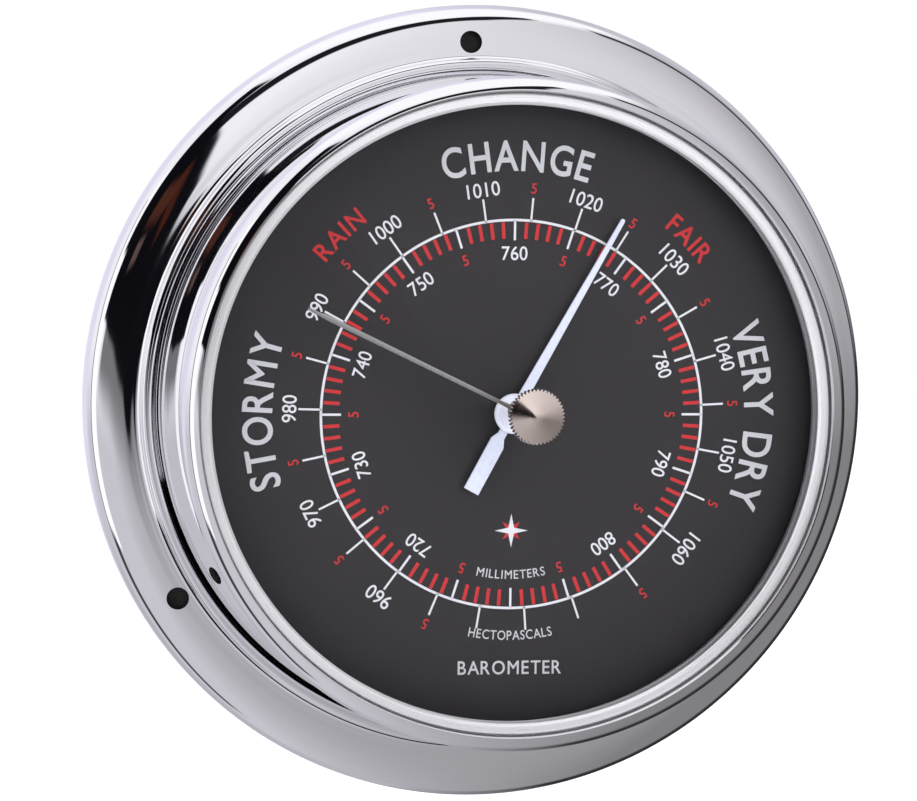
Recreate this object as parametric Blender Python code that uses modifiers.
"""Aneroid barometer for a wall: spun case, glazed bezel, printed dial, set hand and a complete movement.

Everything is drawn on a bench: millimetres, x to the right, y to the dial's top, h from the wall to the viewer.
The empty "bench" stands the drawing up, so that the finished part has +Z up and looks along -Y.
"""
import math

import bmesh
import bpy
from mathutils import Matrix

MM = 0.001
GAP = 0.3                     # play between neighbouring pieces
BIG = 40                      # sides of the case's turned pieces
FINE = 16                     # sides of the small turned pieces

# Case
FLANGE_R = 75.0
HOLE_R = 2.1                  # mounting screw holes in the flange
HOLE_CIRCLE_R = 68.0
HOLE_TURN = -2.4              # the flange sits turned by this many degrees behind the dial
DRUM_R = 60.6                 # at the bezel
DRUM_FOOT_R = 62.0            # the drum widens slightly towards the wall
DRUM_BORE_R = 59.2
SPIGOT_R = 59.9               # the drum's mouth, inside the bezel
SPIGOT_TOP = 38.7
FOOT_TOP = 5.7                # the drum's foot, under the flange
WINDOW_R = 56.2               # visible opening of dial and bezel
BEZEL_R = 61.4
FIT_R = DRUM_BORE_R - GAP     # outside of whatever sits in the drum

# Dial and glass
DIAL_TOP = 33.7
DIAL_T = 0.8
GLASS_R = 58.0
GLASS_T = 1.6
GLASS_CROWN = 50.8            # top of the domed glass
GLASS_CURVE = 147.2           # radius of the dome's outer surface
LIP_TOP = 40.8

# Hands
POINTER_ANGLE = 29.6          # degrees clockwise from the dial's top
POINTER_REACH = 40.9
POINTER_H = 35.2
SET_ANGLE = -64.5
SET_REACH = 43.2
SET_H = 40.7
SET_UP = 0.7                  # the glass's hole lies this far above the pointer's axis
KNOB_R = 5.05
KNOB_BACK = 54.3
KNOB_FRONT = 56.6
KNOB_CROWN = 0.5
KNOB_FLUTES = 44

# Movement
COVER_T = 2.0
PLATE_T = 1.5
BASE_H = COVER_T + GAP
BRIDGE_H = 29.6
BRIDGE_T = 1.2
PLATE_R = 44.0
PILLAR_CIRCLE_R = 40.0
PILLAR_R = 2.5
SCREW_R = 1.2
SCREW_HOLE_R = SCREW_R + GAP
ARBOR_R = 0.75
ARBOR_HOLE_R = ARBOR_R + GAP
MODULE = 0.5
PINION_TEETH = 12
SECTOR_TEETH = 96             # teeth of the full wheel that the sector is cut from
SECTOR_AT = (0.0, -MODULE * (PINION_TEETH + SECTOR_TEETH) / 2)
SECTOR_FROM, SECTOR_TO = 66.0, 124.5
SECTOR_H = 26.5
SECTOR_T = 1.5
FORK_R = 6.5
SHAFT_Y = SECTOR_AT[1]
SHAFT_H = 17.0
SHAFT_R = 1.0
CAPSULE_AT = (-12.0, SHAFT_Y + 5.0)
CAPSULE_R = 18.0
WAVES_FROM = 4.0              # radius where the corrugation starts
WAVE = 4.0                    # pitch of the corrugation
COCK_H = 19.0


# Blender helpers

def clear_scene():
    for old in list(bpy.data.objects):
        bpy.data.objects.remove(old, do_unlink=True)


def collection(name):
    made = bpy.data.collections.new(name)
    bpy.context.scene.collection.children.link(made)
    return made


def material(name, color, metallic, roughness):
    made = bpy.data.materials.new(name)
    made.use_nodes = True
    shader = made.node_tree.nodes["Principled BSDF"]
    shader.inputs["Base Color"].default_value = (*color, 1.0)
    shader.inputs["Metallic"].default_value = metallic
    shader.inputs["Roughness"].default_value = roughness
    return made


def add(name, data, at=(0, 0, 0), turn=(0, 0, 0), finish=None):
    """A new object on the bench, at a place in millimetres and a turn in degrees."""
    made = bpy.data.objects.new(name, data)
    PARTS.objects.link(made)
    made.parent = BENCH
    made.location = [MM * v for v in at]
    made.rotation_euler = [math.radians(v) for v in turn]
    if finish is not None:
        data.materials.append(finish)
    return made


def turned(name, profile, finish, sides=FINE, at=(0, 0, 0), closed=False):
    """A turned piece. The profile's (radius, height) points run down its outer side."""
    mesh = bpy.data.meshes.new(name)
    count = len(profile)
    edges = [(i, i + 1) for i in range(count - 1)] + ([(count - 1, 0)] if closed else [])
    mesh.from_pydata([(MM * r, 0, MM * h) for r, h in profile], edges, [])
    made = add(name, mesh, at, finish=finish)
    screw = made.modifiers.new("turn", "SCREW")
    screw.steps = screw.render_steps = sides
    screw.use_merge_vertices = True
    screw.merge_threshold = 0.00001
    return made


def flat(name, outlines, thickness, finish, at=(0, 0, 0), turn=(0, 0, 0)):
    """A plate cut from sheet: the first outline is its edge and the others are holes."""
    curve = bpy.data.curves.new(name, "CURVE")
    curve.dimensions = "2D"
    curve.fill_mode = "BOTH"
    curve.extrude = MM * thickness / 2
    for outline in outlines:
        spline = curve.splines.new("POLY")
        spline.points.add(len(outline) - 1)
        for point, (x, y) in zip(spline.points, outline):
            point.co = (MM * x, MM * y, 0, 1)
        spline.use_cyclic_u = True
    return add(name, curve, (at[0], at[1], at[2] + thickness / 2), turn, finish)


def upright(name, outlines, thickness, finish, x):
    """A plate that stands across the bench at x. Its outline is in (y, h)."""
    made = flat(name, outlines, thickness, finish)
    made.location = (MM * x, 0, 0)
    made.rotation_euler = (math.radians(90), 0, math.radians(90))
    return made


def circle(radius, at=(0, 0), sides=FINE):
    steps = [2 * math.pi * i / sides for i in range(sides)]
    return [(at[0] + radius * math.cos(a), at[1] + radius * math.sin(a)) for a in steps]


def arc(cx, cy, radius, start, end, steps):
    """Points along an arc, from start to end degrees."""
    angles = [math.radians(start + (end - start) * i / steps) for i in range(steps + 1)]
    return [(cx + radius * math.cos(a), cy + radius * math.sin(a)) for a in angles]


def around(radius, angle):
    """The place at an angle, in degrees clockwise from the dial's top."""
    return radius * math.sin(math.radians(angle)), radius * math.cos(math.radians(angle))


def cutter(name, radius, low, high, at=(0, 0), sides=FINE):
    mesh = bpy.data.meshes.new(name)
    shape = bmesh.new()
    bmesh.ops.create_cone(shape, cap_ends=True, segments=sides, radius1=MM * radius, radius2=MM * radius,
                          depth=MM * (high - low))
    shape.to_mesh(mesh)
    shape.free()
    return place_cutter(name, mesh, (at[0], at[1], (low + high) / 2))


def box_cutter(name, size, at, turn=0):
    mesh = bpy.data.meshes.new(name)
    shape = bmesh.new()
    bmesh.ops.create_cube(shape, size=1, matrix=Matrix.Diagonal([MM * v for v in size]).to_4x4())
    shape.to_mesh(mesh)
    shape.free()
    return place_cutter(name, mesh, at, turn)


def place_cutter(name, mesh, at, turn=0):
    made = bpy.data.objects.new(name, mesh)
    CUTTERS.objects.link(made)
    made.parent = BENCH
    made.location = [MM * v for v in at]
    made.rotation_euler = (0, 0, math.radians(turn))
    made.hide_render = True
    made.display_type = "WIRE"
    return made


def cut(piece, *tools):
    for tool in tools:
        step = piece.modifiers.new("cut", "BOOLEAN")
        step.operation = "DIFFERENCE"
        step.object = tool


def shade(pieces):
    """Turns each finished piece into a plain mesh, smooth but for its sharp edges."""
    bpy.context.view_layer.update()
    depsgraph = bpy.context.evaluated_depsgraph_get()
    for piece in pieces:
        mesh = bpy.data.meshes.new_from_object(piece.evaluated_get(depsgraph))
        if piece.type == "CURVE":
            weld(mesh)
        mesh.shade_smooth()
        mesh.set_sharp_from_angle(angle=math.radians(30))
        solid = bpy.data.objects.new("solid", mesh)
        PARTS.objects.link(solid)
        solid.parent = piece.parent
        solid.matrix_basis = piece.matrix_basis
        name = piece.name
        bpy.data.objects.remove(piece)
        solid.name = mesh.name = name


def weld(mesh):
    shape = bmesh.new()
    shape.from_mesh(mesh)
    bmesh.ops.remove_doubles(shape, verts=shape.verts, dist=0.000001)
    shape.to_mesh(mesh)
    shape.free()


# Case, bezel and glass

def glass_height(radius, depth=0.0):
    """Height of the domed glass at a radius, at a depth under its outer surface."""
    return math.sqrt((GLASS_CURVE - depth) ** 2 - radius ** 2) + GLASS_CROWN - GLASS_CURVE


def make_case_flange():
    """The spun flange: a bead around the drum's foot, a gently falling face and an edge rolled to the wall."""
    bore = DRUM_FOOT_R + GAP
    bead = [(bore, 7.8)] + arc(63.75, 7.6, 1.2, 145, -10, 5)
    rim = [(68.0, 6.95), (70.8, 6.45), (72.8, 5.65), (74.2, 4.6), (74.85, 3.5), (FLANGE_R, 2.6),
           (74.85, 1.2), (74.4, 0.0)]
    under = [(73.0, 0.0), (73.5, 1.4), (73.65, 2.7), (73.3, 3.6), (72.0, 4.6), (70.4, 5.2), (68.0, 5.75),
             (64.6, FOOT_TOP + GAP), (bore, FOOT_TOP + GAP)]
    flange = turned("case_flange", bead + rim + under, CHROME, BIG, closed=True)
    for number in range(3):
        spot = around(HOLE_CIRCLE_R, 120 * number + HOLE_TURN)
        cut(flange, cutter(f"flange_hole_{number}", HOLE_R, 3, 10, spot, 20))


def make_flange_gasket():
    """A foam ring that fills the flange from behind and seals it against the wall. The screws pierce it."""
    profile = [(64.6, 5.5), (67.9, 5.4), (70.2, 4.8), (71.6, 4.2), (72.5, 3.3), (72.5, 0.0), (64.6, 0.0)]
    turned("flange_gasket", profile, FOAM, BIG, closed=True)


def make_case_drum():
    """The tapered drum, with a foot that lies under the flange and a thin mouth for the bezel."""
    profile = [(DRUM_BORE_R, SPIGOT_TOP), (SPIGOT_R, SPIGOT_TOP), (SPIGOT_R, 37.2), (DRUM_R, 37.2),
               (DRUM_FOOT_R, FOOT_TOP), (64.0, FOOT_TOP), (64.0, FOOT_TOP - 1.0), (DRUM_BORE_R, FOOT_TOP - 1.0)]
    turned("case_drum", profile, CHROME, BIG, closed=True)


def make_bezel_ring():
    outside = [(58.75, 42.5), (60.2, 41.5), (60.85, 41.05), (61.25, 40.5), (BEZEL_R, 39.9), (61.25, 39.3),
               (60.8, 39.0), (60.75, 37.5)]
    inside = [(SPIGOT_R + GAP, 37.5), (SPIGOT_R + GAP, SPIGOT_TOP + GAP), (58.6, SPIGOT_TOP + GAP),
              (58.6, 42.35)]
    turned("bezel_ring", outside + inside, CHROME, BIG, closed=True)


def make_lip_ring():
    outer = 58.3
    profile = [(WINDOW_R + 0.5, LIP_TOP), (outer - 0.2, LIP_TOP - 0.1), (outer, LIP_TOP - 0.4),
               (outer, glass_height(outer) + GAP), (WINDOW_R, glass_height(WINDOW_R) + GAP),
               (WINDOW_R, LIP_TOP - 0.4)]
    turned("lip_ring", profile, SATIN, BIG, closed=True)


def make_glass_lens():
    radii = [GLASS_R * math.sin(math.pi / 2 * i / 6) for i in range(7)]
    outside = [(r, glass_height(r)) for r in radii]
    inside = [(r, glass_height(r, GLASS_T)) for r in reversed(radii)]
    glass = turned("glass_lens", outside + inside, GLASS, BIG)
    cut(glass, cutter("spindle_hole", 2.2, 45, 55, (0, SET_UP)))


def make_glass_gasket():
    low, high = glass_height(GLASS_R, GLASS_T), glass_height(GLASS_R)
    profile = [(FIT_R, high - 0.2), (FIT_R, low), (GLASS_R + GAP, low), (GLASS_R + GAP, high - 0.2)]
    turned("glass_gasket", profile, RUBBER, BIG, closed=True)


def make_dial_rings():
    reach = [FIT_R, GLASS_R, WINDOW_R]
    top = [(r, glass_height(min(r, GLASS_R), GLASS_T) - 2 * GAP) for r in reversed(reach)]
    base = DIAL_TOP + GAP
    turned("dial_spacer_ring", top + [(FIT_R, base), (WINDOW_R, base)], SATIN, BIG, closed=True)
    seat_top = DIAL_TOP - DIAL_T - GAP
    seat = [(55.5, seat_top), (FIT_R, seat_top), (FIT_R, seat_top - 3.0), (57.9, seat_top - 3.0),
            (57.9, seat_top - 1.2), (55.5, seat_top - 1.2)]
    turned("dial_seat_ring", seat, STEEL, BIG, closed=True)


def make_dial_plate():
    low = DIAL_TOP - DIAL_T
    profile = [(2.4, DIAL_TOP), (FIT_R, DIAL_TOP), (FIT_R, low), (2.4, low)]
    turned("dial_plate", profile, DIAL_BLACK, BIG, closed=True)


def pillar_places():
    return [around(PILLAR_CIRCLE_R, angle) for angle in (0, 120, 240)]


def make_back_cover():
    profile = [(0, COVER_T), (57.0, COVER_T), (57.4, 12.0), (FIT_R, 12.0), (FIT_R, 1.0), (58.0, 0), (0, 0)]
    cover = turned("back_cover", profile, COVER_BLACK, BIG)
    for number, spot in enumerate(pillar_places()):
        cut(cover, cutter(f"sink_{number}", 3.1, -1, 1.4, spot), cutter(f"way_{number}", SCREW_HOLE_R, 0.5, 3, spot))
    cut(cover, cutter("zero_sink", 3.5, -1, 1.5, CAPSULE_AT), cutter("zero_way", 2.0, 0.5, 3, CAPSULE_AT))


def make_back_screws():
    for number, (x, y) in enumerate(pillar_places(), 1):
        profile = [(0, 8.6), (SCREW_R, 8.3), (SCREW_R, 1.1), (2.7, 1.1), (2.7, 0.4), (2.4, 0.2), (0, 0.2)]
        screw = turned(f"back_screw_{number}", profile, STEEL, at=(x, y, 0))
        cut(screw, box_cutter(f"back_slot_{number}", (7, 0.6, 1), (x, y, 0.15), 40 * number))


# The set hand and its bearing in the glass

def make_set_knob():
    mesh = bpy.data.meshes.new("set_knob")
    shape = bmesh.new()
    bmesh.ops.create_cone(shape, cap_ends=True, cap_tris=True, segments=2 * KNOB_FLUTES, radius1=MM * KNOB_R,
                          radius2=MM * KNOB_R, depth=MM * (KNOB_FRONT - KNOB_BACK))
    rims = [v for v in shape.verts if v.co.xy.length > MM]
    for vert in rims:
        flute = round(math.atan2(vert.co.y, vert.co.x) / (math.pi / KNOB_FLUTES)) % 2
        vert.co.xy *= 0.95 if flute else 1.0
    for vert in shape.verts:
        if vert.co.xy.length < MM and vert.co.z > 0:
            vert.co.z += MM * KNOB_CROWN
    shape.to_mesh(mesh)
    shape.free()
    knob = add("set_knob", mesh, (0, SET_UP, (KNOB_BACK + KNOB_FRONT) / 2), finish=NICKEL)
    cut(knob, cutter("knob_bore", ARBOR_HOLE_R, 50, 55.4, (0, SET_UP)))


def make_set_arbor():
    at = (0, SET_UP, 0)
    end = SET_H - 0.9
    turned("set_spindle", [(0, 55.1), (ARBOR_R, 55.1), (ARBOR_R, end), (0, end)], BRASS, at=at)
    turned("knob_collar", [(ARBOR_HOLE_R, 54.0), (2.2, 54.0), (2.2, 52.4), (ARBOR_HOLE_R, 52.4)], NICKEL,
           at=at, closed=True)
    bush = [(ARBOR_HOLE_R, 52.1), (2.8, 52.1), (3.1, 51.1), (1.9, 51.1), (1.9, 47.6), (ARBOR_HOLE_R, 47.6)]
    turned("spindle_bush", bush, NICKEL, at=at, closed=True)
    turned("bush_nut", [(2.2, 48.8), (3.4, 48.8), (3.4, 47.7), (2.2, 47.7)], BRASS, sides=6, at=at, closed=True)
    low, high = SET_H + 0.3 + GAP, SET_H + 2.4
    turned("set_hand_collet", [(ARBOR_HOLE_R, high), (1.6, high), (1.9, low), (ARBOR_HOLE_R, low)], BRASS,
           at=at, closed=True)


def make_set_hand():
    """A straight blade, widest near its end, where a step on one side leaves a fine tip."""
    root, wide, fine = 0.40, 0.54, 0.28
    step = SET_REACH - 3.2
    edge = arc(0, 0, 2.2, 101, 439, 16)
    blade = [(root, 4.0), (wide, step), (fine, step + 0.5), (fine, SET_REACH), (-fine, SET_REACH),
             (-wide, step - 1.5), (-root, 4.0)]
    flat("set_hand", [edge + blade, circle(ARBOR_HOLE_R)], 0.3, SILVER, (0, SET_UP, SET_H), (0, 0, -SET_ANGLE))


# Pointer

def make_pointer():
    """A tapering needle with a round end, and a tail with a narrow neck and a rectangular paddle."""
    eye, root, end = 3.0, 0.95, 0.42
    neck, paddle = 0.80, 1.52
    shoulder, tail = 6.3, 16.4
    needle = [(root, 3.2)] + arc(0, POINTER_REACH - end, end, 0, 180, 6) + [(-root, 3.2)]
    left = arc(0, 0, eye, 110, 250, 8)
    foot = [(-neck, -3.6), (-neck, -4.9), (-paddle, -shoulder), (-paddle, -tail)]
    foot += [(-x, y) for x, y in reversed(foot)]
    right = arc(0, 0, eye, 290, 430, 8)
    outline = needle + left + foot + right
    flat("pointer_hand", [outline, circle(ARBOR_HOLE_R)], 0.5, WHITE, (0, 0, POINTER_H), (0, 0, -POINTER_ANGLE))
    low = POINTER_H + 0.5 + GAP
    cap = [(0, low + 1.1), (3.3, low + 1.1), (3.7, low + 0.7), (3.7, low), (ARBOR_HOLE_R, low),
           (ARBOR_HOLE_R, low + 0.6), (0, low + 0.6)]
    turned("pointer_hub", cap, WHITE, 32)


# Movement frame

def make_plates():
    holes = [circle(SCREW_HOLE_R, spot, 16) for spot in pillar_places()]
    flat("base_plate", [circle(PLATE_R, sides=BIG)] + holes + [circle(2.0, CAPSULE_AT, 16)], PLATE_T, BRASS,
         (0, 0, BASE_H))
    pivots = [circle(ARBOR_HOLE_R, (0, 0), 16), circle(ARBOR_HOLE_R, SECTOR_AT, 16)]
    window = [circle(9.0, (24, 12)), circle(9.0, (-24, 12))]
    flat("bridge_plate", [circle(PLATE_R, sides=BIG)] + holes + pivots + window, BRIDGE_T, BRASS, (0, 0, BRIDGE_H))


def make_pillars():
    low, high = BASE_H + PLATE_T + GAP, BRIDGE_H - GAP
    bored = [(0, high - 5), (SCREW_HOLE_R, high - 5), (SCREW_HOLE_R, high), (PILLAR_R, high), (PILLAR_R, low),
             (SCREW_HOLE_R, low), (SCREW_HOLE_R, low + 5), (0, low + 5)]
    head = BRIDGE_H + BRIDGE_T + GAP
    screw = [(0, head + 1.2), (2.0, head + 1.2), (2.4, head + 0.8), (2.4, head), (SCREW_R, head),
             (SCREW_R, high - 4), (0, high - 4)]
    for number, (x, y) in enumerate(pillar_places(), 1):
        turned(f"pillar_{number}", bored, BRASS, 16, (x, y, 0))
        turned(f"bridge_screw_{number}", screw, STEEL, 16, (x, y, 0))


def make_cock():
    ends = (10.0, -38.0)
    edge = [(4, ends[1] - 3), (4, ends[0] + 3), (-4, ends[0] + 3), (-4, ends[1] - 3)]
    flat("arbor_cock", [edge, circle(ARBOR_HOLE_R, (0, 0), 16), circle(ARBOR_HOLE_R, SECTOR_AT, 16)], 1.2, BRASS,
         (0, 0, COCK_H))
    low, high = COCK_H + 1.2 + GAP, BRIDGE_H - GAP
    for number, y in enumerate(ends, 1):
        turned(f"cock_post_{number}", [(0, high), (1.8, high), (1.8, low), (0, low)], BRASS, 16, (0, y, 0))


# Vacuum capsule and its spring

def wave(radius):
    """The corrugation of the capsule's skins."""
    return 0.25 * math.cos((radius - WAVES_FROM) * 2 * math.pi / WAVE) if radius > WAVES_FROM else 0.0


def skin(centre, rim, thickness):
    """Profile of one capsule skin, from its centre height to its rim height, top side first."""
    radii = [WAVES_FROM + WAVE / 2 * i for i in range(6)]
    top = [(r, centre + wave(r)) for r in radii] + [(16.0, rim), (CAPSULE_R, rim)]
    return top + [(r, h - thickness) for r, h in reversed(top)]


def make_capsule():
    at = (*CAPSULE_AT, 0)
    foot = [(0, 5.5)] + skin(5.5, 7.7, 0.4) + [(WAVES_FROM, 4.1), (0, 4.1)]
    turned("capsule_back", foot, NICKEL, 24, at)
    turned("capsule_front", [(0, 11.6)] + skin(11.6, 9.4, 0.4) + [(0, 11.2)], NICKEL, 24, at)
    post = [(0, 16.1), (0.5, 16.1), (0.6, 15.9), (0.6, 14.9), (1.8, 14.6), (1.8, 11.9), (0, 11.9)]
    turned("capsule_post", post, STEEL, 16, at)


def make_main_spring():
    """A leaf spring that stands on the base plate and reaches over the capsule to its post."""
    thick = 0.6
    foot = BASE_H + PLATE_T + GAP
    x, y = CAPSULE_AT
    arm, bend, tail = 13.6, 4.6, 16.0
    lower = [(tail, foot), (6.2, foot), (5.0, foot + 1.0)] + arc(0.4, arm - bend, bend, 0, 90, 6)[1:]
    upper = [(y - 4.0, arm), (y - 4.0, arm + thick)] + arc(0.4, arm - bend, bend + thick, 90, 0, 6)
    outline = lower + upper + [(5.6, foot + 1.6), (9.0, foot + thick), (tail, foot + thick)]
    spring = upright("main_spring", [outline], 8.0, SPRING_STEEL, x)
    mesh = bpy.data.meshes.new_from_object(evaluated(spring))
    weld(mesh)
    strip = add("strip", mesh)
    strip.matrix_basis = spring.matrix_basis
    bpy.data.objects.remove(spring)
    strip.name = "main_spring"
    cut(strip, cutter("post_way", 2.3, 12.5, 15.5, CAPSULE_AT))
    for number in (1, 2):
        spot = (x - 2 + 4 * (number - 1), 12.5)
        cut(strip, cutter(f"foot_way_{number}", 1.1, 3, 7, spot, 12))
        head = foot + thick + GAP
        profile = [(0, head + 0.9), (1.5, head + 0.9), (1.5, head), (0.8, head), (0.8, foot + 0.05), (0, foot + 0.05)]
        turned(f"spring_screw_{number}", profile, STEEL, 12, (*spot, 0))


def evaluated(piece):
    bpy.context.view_layer.update()
    return piece.evaluated_get(bpy.context.evaluated_depsgraph_get())


# Levers

def make_rocker():
    low, high = -36.0, 12.5
    shaft = turned("rocking_shaft", [(0, high - low), (SHAFT_R, high - low), (SHAFT_R, 0), (0, 0)], STEEL, 16)
    shaft.location = (MM * low, MM * SHAFT_Y, MM * SHAFT_H)
    shaft.rotation_euler = (0, math.radians(90), 0)
    hole = circle(SHAFT_R + GAP, (SHAFT_Y, SHAFT_H), 16)
    tip = SECTOR_H + SECTOR_T + 1.0
    rise = arc(SHAFT_Y, SHAFT_H, 2.4, 105, 435, 12) + [(SHAFT_Y + 0.35, tip), (SHAFT_Y - 0.35, tip)]
    upright("drive_arm", [rise, hole], 1.0, STEEL, FORK_R)
    reach = CAPSULE_AT[1] + 1.6
    lift = arc(SHAFT_Y, SHAFT_H, 2.4, 15, 345, 12) + [(reach, SHAFT_H - 0.6), (reach, SHAFT_H + 0.6)]
    upright("lift_arm", [lift, hole], 2.4, STEEL, CAPSULE_AT[0])
    foot = BASE_H + PLATE_T + GAP
    for side, x in (("left", -33.0), ("right", 10.0)):
        cheek = [(SHAFT_Y - 3, foot), (SHAFT_Y + 3, foot)] + arc(SHAFT_Y, SHAFT_H, 3, 0, 180, 8)
        upright(f"shaft_cheek_{side}", [cheek, hole], 1.5, BRASS, x)


# Gears

def tooth(teeth, centre, slack=0.1):
    """Flank points of one tooth in polar form, (radius, degrees), counter-clockwise."""
    pitch = MODULE * teeth / 2
    base = pitch * math.cos(math.radians(20))
    half = (math.pi * MODULE / 2 - 2 * slack) / 2 / pitch

    def roll(radius):
        slant = math.acos(min(1.0, base / radius))
        return math.tan(slant) - slant

    def half_angle(radius):
        return math.degrees(half + roll(pitch) - roll(max(radius, base)))

    radii = [pitch - 1.25 * MODULE, base if base > pitch - 1.2 * MODULE else pitch - MODULE, pitch,
             pitch + 0.8 * MODULE]
    rising = [(r, centre - half_angle(r)) for r in radii]
    falling = [(r, centre + half_angle(r)) for r in reversed(radii)]
    return rising + falling


def polar(points, at=(0, 0)):
    return [(at[0] + r * math.cos(math.radians(a)), at[1] + r * math.sin(math.radians(a))) for r, a in points]


def make_gears():
    step = 360 / PINION_TEETH
    leaves = [point for i in range(PINION_TEETH) for point in tooth(PINION_TEETH, -90 + step * i)]
    flat("pinion", [polar(leaves), circle(ARBOR_HOLE_R, sides=16)], SECTOR_T + 1, STEEL, (0, 0, SECTOR_H - 0.5))

    step = 360 / SECTOR_TEETH
    numbers = [k for k in range(-10, 12) if SECTOR_FROM < 90 + step * (k + 0.5) < SECTOR_TO]
    rim = [point for k in numbers for point in tooth(SECTOR_TEETH, 90 + step * (k + 0.5))]
    tail = [(20.5, SECTOR_TO - 2), (20.5, 112), (3.2, 150), (2.6, 171), (9.0, 176), (9.0, 184), (2.6, 189),
            (2.8, 270), (3.6, 330), (8.6, 346), (8.6, 352.6)]
    slot = [(5.1, 347.6), (5.1, 372.4), (8.6, 367.4), (8.6, 374), (4.4, 395), (20.5, 430), (20.5, 428)]
    flat("sector_gear", [polar(rim + tail + slot), circle(ARBOR_HOLE_R, sides=16)], SECTOR_T, BRASS,
         (*SECTOR_AT, SECTOR_H))
    weight = [(0, SECTOR_H - GAP), (2.0, SECTOR_H - GAP), (2.0, SECTOR_H - 2), (0, SECTOR_H - 2)]
    turned("sector_weight", weight, BRASS, 16, (SECTOR_AT[0] - 7.0, SECTOR_AT[1], 0))


def make_arbors():
    top = POINTER_H + 1.1
    turned("pointer_arbor", [(0, top), (ARBOR_R, top), (ARBOR_R, 18.0), (0, 18.0)], STEEL, 16)
    turned("sector_arbor", [(0, 31.6), (ARBOR_R, 31.6), (ARBOR_R, 18.0), (0, 18.0)], STEEL, 16, (*SECTOR_AT, 0))


def make_hairspring():
    height, turns, per_turn = 23.2, 4, 12
    inner, outer = 2.6, 6.6
    curve = bpy.data.curves.new("hairspring", "CURVE")
    curve.dimensions = "3D"
    curve.bevel_depth = MM * 0.18
    curve.bevel_resolution = 0
    curve.use_fill_caps = True
    spline = curve.splines.new("POLY")
    count = turns * per_turn + 1
    spline.points.add(count - 1)
    for i, point in enumerate(spline.points):
        radius = inner + (outer - inner) * i / (count - 1)
        angle = 2 * math.pi * i / per_turn
        point.co = (MM * radius * math.cos(angle), MM * radius * math.sin(angle), 0, 1)
    add("hairspring", curve, (0, 0, height), finish=SPRING_STEEL)
    collet = [(ARBOR_HOLE_R, height + 0.7), (2.0, height + 0.7), (2.0, height - 0.7), (ARBOR_HOLE_R, height - 0.7)]
    turned("hairspring_collet", collet, BRASS, 16, closed=True)
    stud = [(0, BRIDGE_H - GAP), (0.9, BRIDGE_H - GAP), (0.9, height - 1), (0, height - 1)]
    turned("hairspring_stud", stud, BRASS, 12, (outer + 1.4, 0, 0))


def make_zero_screw():
    x, y = CAPSULE_AT
    top = BASE_H + PLATE_T
    profile = [(0, top), (1.6, top), (1.6, 1.2), (3.1, 1.2), (3.1, 0.5), (2.8, 0.2), (0, 0.2)]
    screw = turned("zero_screw", profile, BRASS, at=(x, y, 0))
    cut(screw, box_cutter("zero_slot", (8, 0.7, 1.1), (x, y, 0.15), 25))


clear_scene()
PARTS = collection("aneroid_barometer")
CUTTERS = collection("cutters")
BENCH = bpy.data.objects.new("bench", None)
PARTS.objects.link(BENCH)
BENCH.rotation_euler = (math.radians(90), 0, 0)

CHROME = material("chrome", (0.78, 0.78, 0.80), 1.0, 0.05)
SATIN = material("satin_nickel", (0.62, 0.62, 0.64), 1.0, 0.35)
NICKEL = material("nickel", (0.70, 0.63, 0.58), 1.0, 0.25)
GLASS = material("glass", (0.90, 0.93, 0.95), 0.0, 0.02)
RUBBER = material("clear_rubber", (0.75, 0.75, 0.75), 0.0, 0.6)
DIAL_BLACK = material("dial_black", (0.036, 0.034, 0.036), 0.0, 0.6)
COVER_BLACK = material("cover_black", (0.03, 0.03, 0.03), 0.0, 0.5)
FOAM = material("black_foam", (0.02, 0.02, 0.02), 0.0, 0.9)
WHITE = material("white_enamel", (0.80, 0.80, 0.86), 0.0, 0.35)
SILVER = material("silver", (0.50, 0.50, 0.50), 1.0, 0.35)
STEEL = material("steel", (0.45, 0.45, 0.47), 1.0, 0.35)
SPRING_STEEL = material("spring_steel", (0.20, 0.24, 0.34), 1.0, 0.3)
BRASS = material("brass", (0.70, 0.50, 0.20), 1.0, 0.3)

make_case_flange()
make_flange_gasket()
make_case_drum()
make_bezel_ring()
make_lip_ring()
make_glass_lens()
make_glass_gasket()
make_dial_rings()
make_dial_plate()
make_back_cover()
make_back_screws()
make_set_knob()
make_set_arbor()
make_set_hand()
make_pointer()
make_plates()
make_pillars()
make_cock()
make_capsule()
make_main_spring()
make_rocker()
make_gears()
make_arbors()
make_hairspring()
make_zero_screw()
shade([piece for piece in PARTS.objects if piece.type != "EMPTY"])
